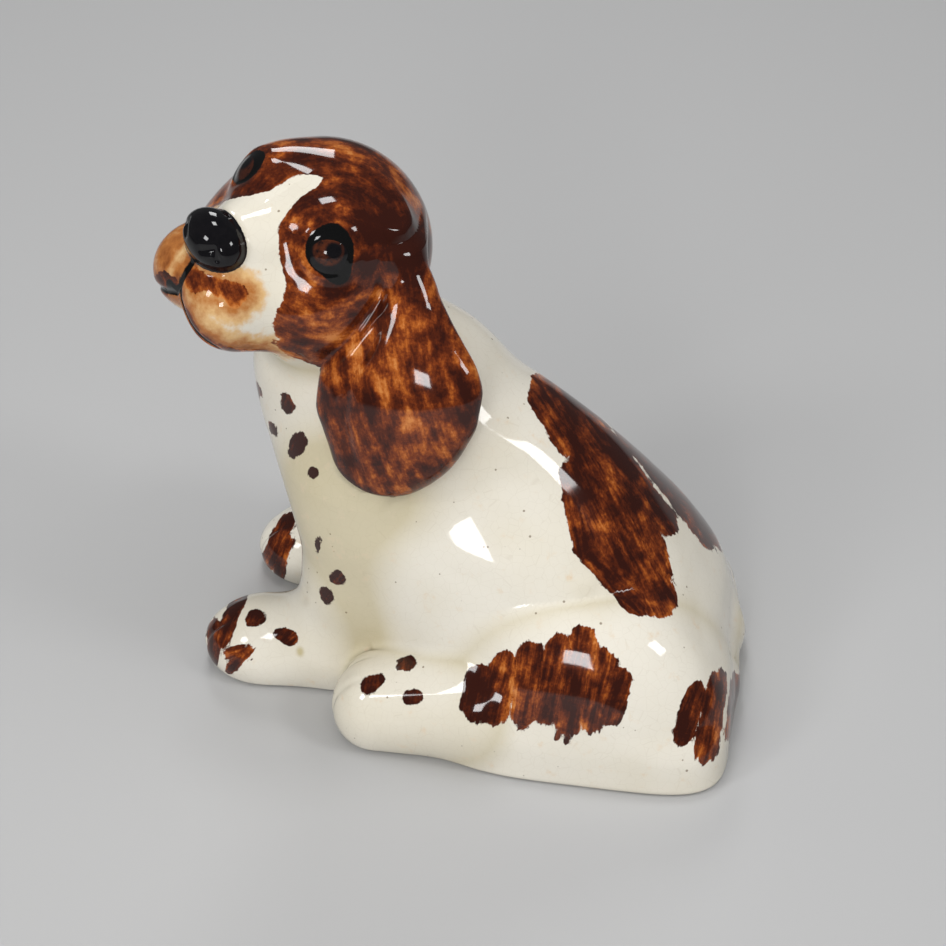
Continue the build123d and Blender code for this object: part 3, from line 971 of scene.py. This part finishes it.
def gloss(shader, roughness, coat_roughness):
    """A clear glaze over the colour: all of the shine comes from the coat."""
    shader.inputs["Roughness"].default_value = roughness
    shader.inputs["Specular IOR Level"].default_value = 0.0
    shader.inputs["Coat Weight"].default_value = 1.0
    shader.inputs["Coat Roughness"].default_value = coat_roughness
    shader.inputs["Coat IOR"].default_value = 1.42


# %% [markdown]
# ## The glaze
# The colours of the real figure lie under one clear glaze, so a single shader with a clear coat is enough.
# One recipe serves every painted slot: cream glaze with specks and fine crazing, then the amber blush,
# then brown wash, then black line. The wash is streaked along the stored brush strokes.

# %% Colours
CREAM, WARM_CREAM, POOLED_AND_SHADED = (0.74, 0.70, 0.61, 1), (0.69, 0.64, 0.525, 1), (0.50, 0.42, 0.22, 1)
SPECK, CRAZE, BLACK = (0.13, 0.08, 0.035, 1), (0.35, 0.27, 0.16, 1), (0.004, 0.004, 0.004, 1)
PUPIL, PUPIL_CLOUD, IRIS = (0.002, 0.002, 0.003, 1), (0.008, 0.007, 0.008, 1), (0.075, 0.019, 0.008, 1)
BUFF, STAIN, PIT = (0.60, 0.48, 0.34, 1), (0.48, 0.36, 0.24, 1), (0.2, 0.14, 0.09, 1)
# place on the scale, then the colour there
BLUSHES = [
    (0.0, (0.72, 0.66, 0.55)),
    (0.4, (0.66, 0.42, 0.19)),
    (0.7, (0.42, 0.155, 0.04)),
    (1.0, (0.16, 0.04, 0.012)),
]
BROWNS = [
    (0.0, (0.55, 0.20, 0.05)),
    (0.2, (0.38, 0.098, 0.016)),
    (0.4, (0.18, 0.036, 0.008)),
    (0.6, (0.08, 0.015, 0.005)),
    (0.85, (0.032, 0.007, 0.004)),
]
print("colours of the blush", len(BLUSHES), "and of the wash", len(BROWNS))


# %% Painted glaze
def glaze(name):
    """Glazed and painted earthenware: cream, then blush, brown wash and black line over each other."""
    material, tree, shader, in_mm = new_material(name)
    streak = noise(tree, stored(tree, "bristle", "Vector"), 0.9, 6.0, 0.6)
    blotch = noise(tree, in_mm, 0.1, 2.0, 0.5)
    patchy = noise(tree, in_mm, 0.28, 4.0, 0.6)
    grain = noise(tree, in_mm, 1.6, 2.0, 0.6)
    cream = mixed(tree, step(tree, noise(tree, in_mm, 0.035), 0.35, 0.75), CREAM, WARM_CREAM)
    # Pooled glaze and painted shade: the cream turns darker and yellower in the creases.
    cream = mixed(tree, sums(tree, "MULTIPLY", stored(tree, "pool_and_shade"), 0.6), cream, POOLED_AND_SHADED)
    cells = put(tree, "ShaderNodeTexVoronoi", {"feature": "F1"}, Vector=in_mm, Scale=0.34)
    chance = put(tree, "ShaderNodeSeparateColor", Color=cells.outputs["Color"]).outputs[0]
    size = sums(tree, "MULTIPLY", step(tree, chance, 0.3, 1.0), 0.12)
    speck = step(tree, sums(tree, "SUBTRACT", size, cells.outputs["Distance"]), 0.0, 0.03)
    cream = mixed(tree, sums(tree, "MULTIPLY", speck, 0.7), cream, SPECK)
    edges = put(tree, "ShaderNodeTexVoronoi", {"feature": "DISTANCE_TO_EDGE"}, Vector=in_mm, Scale=0.45)
    craze = step(tree, edges.outputs["Distance"], 0.03, 0.0)
    cream = mixed(tree, sums(tree, "MULTIPLY", craze, 0.12), cream, CRAZE)
    wet = sway(tree, stored(tree, "blush"), patchy, 0.9)
    cream = mixed(tree, step(tree, wet, 0.05, 0.35), cream, ramp(tree, wet, BLUSHES))
    swing = sums(tree, "MULTIPLY", sums(tree, "SUBTRACT", streak, 0.5), stored(tree, "ragged"))
    edge = sums(tree, "MULTIPLY_ADD", swing, 5.0, stored(tree, "wash"))
    edge = sway(tree, edge, patchy, 2.4)
    covered = step(tree, edge, -0.1, 0.15)
    body = sway(tree, stored(tree, "dark"), streak, 1.7)
    # Painted shade: the brown wash turns darker in the creases.
    body = sums(tree, "MULTIPLY_ADD", stored(tree, "pool_and_shade"), 0.35, body)
    body = sway(tree, body, grain, 0.4)
    body = sway(tree, body, blotch, 1.5)
    body = sway(tree, body, patchy, 1.3)
    colour = mixed(tree, covered, cream, ramp(tree, body, BROWNS))
    line = sway(tree, stored(tree, "ink"), grain, 0.5)
    colour = mixed(tree, step(tree, line, -0.15, 0.15), colour, BLACK)
    tree.links.new(colour, shader.inputs["Base Color"])
    waves = sums(tree, "MULTIPLY_ADD", covered, 0.1, noise(tree, in_mm, 0.09))
    waves = sums(tree, "MULTIPLY_ADD", noise(tree, in_mm, 0.45, 3.0, 0.55), 0.16, waves)
    bump = put(tree, "ShaderNodeBump", Height=waves, Strength=0.4, Distance=0.0006)
    tree.links.new(bump.outputs[0], shader.inputs["Normal"])
    gloss(shader, 0.4, 0.06)
    return material


# %% Black glaze and bare clay
def black_glaze(name):
    """Thick black glaze, with a dark brown iris where the skin stores one."""
    material, tree, shader, in_mm = new_material(name)
    cloud = noise(tree, in_mm, 0.6, 3.0, 0.6)
    colour = mixed(tree, cloud, PUPIL, PUPIL_CLOUD)
    iris = sums(tree, "MULTIPLY", stored(tree, "iris"), step(tree, cloud, 0.25, 0.55))
    colour = mixed(tree, iris, colour, IRIS)
    tree.links.new(colour, shader.inputs["Base Color"])
    gloss(shader, 0.2, 0.05)
    return material


def bare_clay(name):
    """Unglazed fired clay: buff, with soft stains and small pits."""
    material, tree, shader, in_mm = new_material(name)
    stain = step(tree, noise(tree, in_mm, 0.08, 4.0, 0.6), 0.3, 0.7)
    pits = step(tree, noise(tree, in_mm, 1.8, 2.0, 0.5), 0.36, 0.28)
    colour = mixed(tree, stain, BUFF, STAIN)
    colour = mixed(tree, sums(tree, "MULTIPLY", pits, 0.5), colour, PIT)
    tree.links.new(colour, shader.inputs["Base Color"])
    tooth = noise(tree, in_mm, 1.2, 3.0, 0.6)
    bump = put(tree, "ShaderNodeBump", Height=tooth, Strength=0.4, Distance=0.0003)
    tree.links.new(bump.outputs[0], shader.inputs["Normal"])
    shader.inputs["Roughness"].default_value = 0.85
    return material


MATERIALS = {slot: glaze(slot) for slot in ("cream_glaze", "head_glaze", "brown_glaze")}
MATERIALS["black_glaze"] = black_glaze("black_glaze")
for name, piece in made.items():
    piece.data.materials.append(MATERIALS[SLOTS[name]])
base.data.materials.append(bare_clay("bare_clay"))
print("materials", sorted(MATERIALS), "bare_clay")

# %% [markdown]
# ## The stage
# A plain floor, a few windows for the sharp lights in the glaze, and two large screens that fill the shadows.
# One large light would be simpler, but it would lie on the black glaze as a grey veil.
# So the screens are left out of mirror reflections, and black stays black.

# %% Camera
TARGET = np.array([0, 0.5, 50]) * MM
CAMERA_DISTANCE, CAMERA_LENS = 0.52, 84.2
back = way_to(*VIEW_WAY)
camera = bpy.data.objects.new("camera", bpy.data.cameras.new("camera"))
bpy.context.scene.collection.objects.link(camera)
camera.location = TARGET + back * CAMERA_DISTANCE
camera.rotation_mode = "QUATERNION"
camera.rotation_quaternion = Vector(-back).to_track_quat("-Z", "Y")
camera.data.sensor_width = 36
camera.data.lens = CAMERA_LENS
camera.data.clip_start = 0.01
bpy.context.scene.camera = camera
print("camera at", [round(c, 3) for c in camera.location])

# %% Floor
floor_mesh = bpy.data.meshes.new("floor")
floor_mesh.from_pydata([(-4, -4, 0), (4, -4, 0), (4, 4, 0), (-4, 4, 0)], [], [(0, 1, 2, 3)])
floor = bpy.data.objects.new("floor", floor_mesh)
bpy.context.scene.collection.objects.link(floor)
paper = bpy.data.materials.new("paper")
paper.use_nodes = True
paper_shader = paper.node_tree.nodes["Principled BSDF"]
paper_shader.inputs["Base Color"].default_value = (0.46, 0.46, 0.46, 1)
paper_shader.inputs["Roughness"].default_value = 0.6
floor_mesh.materials.append(paper)
print("floor", [round(c, 2) for c in floor.dimensions])


# %% Lights
def window(name, azimuth, elevation, distance, width, height, power, mirrored_in_glaze=True):
    """A window or a soft screen: an area light that faces the figure from a direction."""
    way = way_to(azimuth, elevation)
    light = bpy.data.lights.new(name, "AREA")
    light.shape, light.size, light.size_y, light.energy = "RECTANGLE", width, height, power
    lamp = bpy.data.objects.new(name, light)
    bpy.context.scene.collection.objects.link(lamp)
    lamp.location = TARGET + way * distance
    lamp.rotation_mode = "QUATERNION"
    lamp.rotation_quaternion = Vector(-way).to_track_quat("-Z", "Y")
    lamp.visible_glossy = mirrored_in_glaze
    print(name, power, "W")


# azimuth, elevation, distance, width, height and power
window("window", 88, 22, 1.2, 0.2, 0.22, 2.6)
window("second_window", 165, 40, 1.2, 0.26, 0.2, 2.5)
window("third_window", 40, 38, 1.2, 0.22, 0.24, 2.5)
window("skylight", -60, 74, 1.2, 0.2, 0.2, 2)
window("back_window", 285, 40, 1.2, 0.24, 0.3, 2)
window("ceiling", 150, 80, 1.6, 1.6, 1.6, 13, mirrored_in_glaze=False)
window("screen", 80, 28, 1.5, 1.2, 0.9, 9, mirrored_in_glaze=False)
world = bpy.data.worlds.new("room")
bpy.context.scene.world = world
world.use_nodes = True
background = world.node_tree.nodes["Background"]
background.inputs["Color"].default_value = (0.9, 0.92, 0.95, 1)
background.inputs["Strength"].default_value = 0.1
bpy.context.scene.view_settings.view_transform = "Standard"
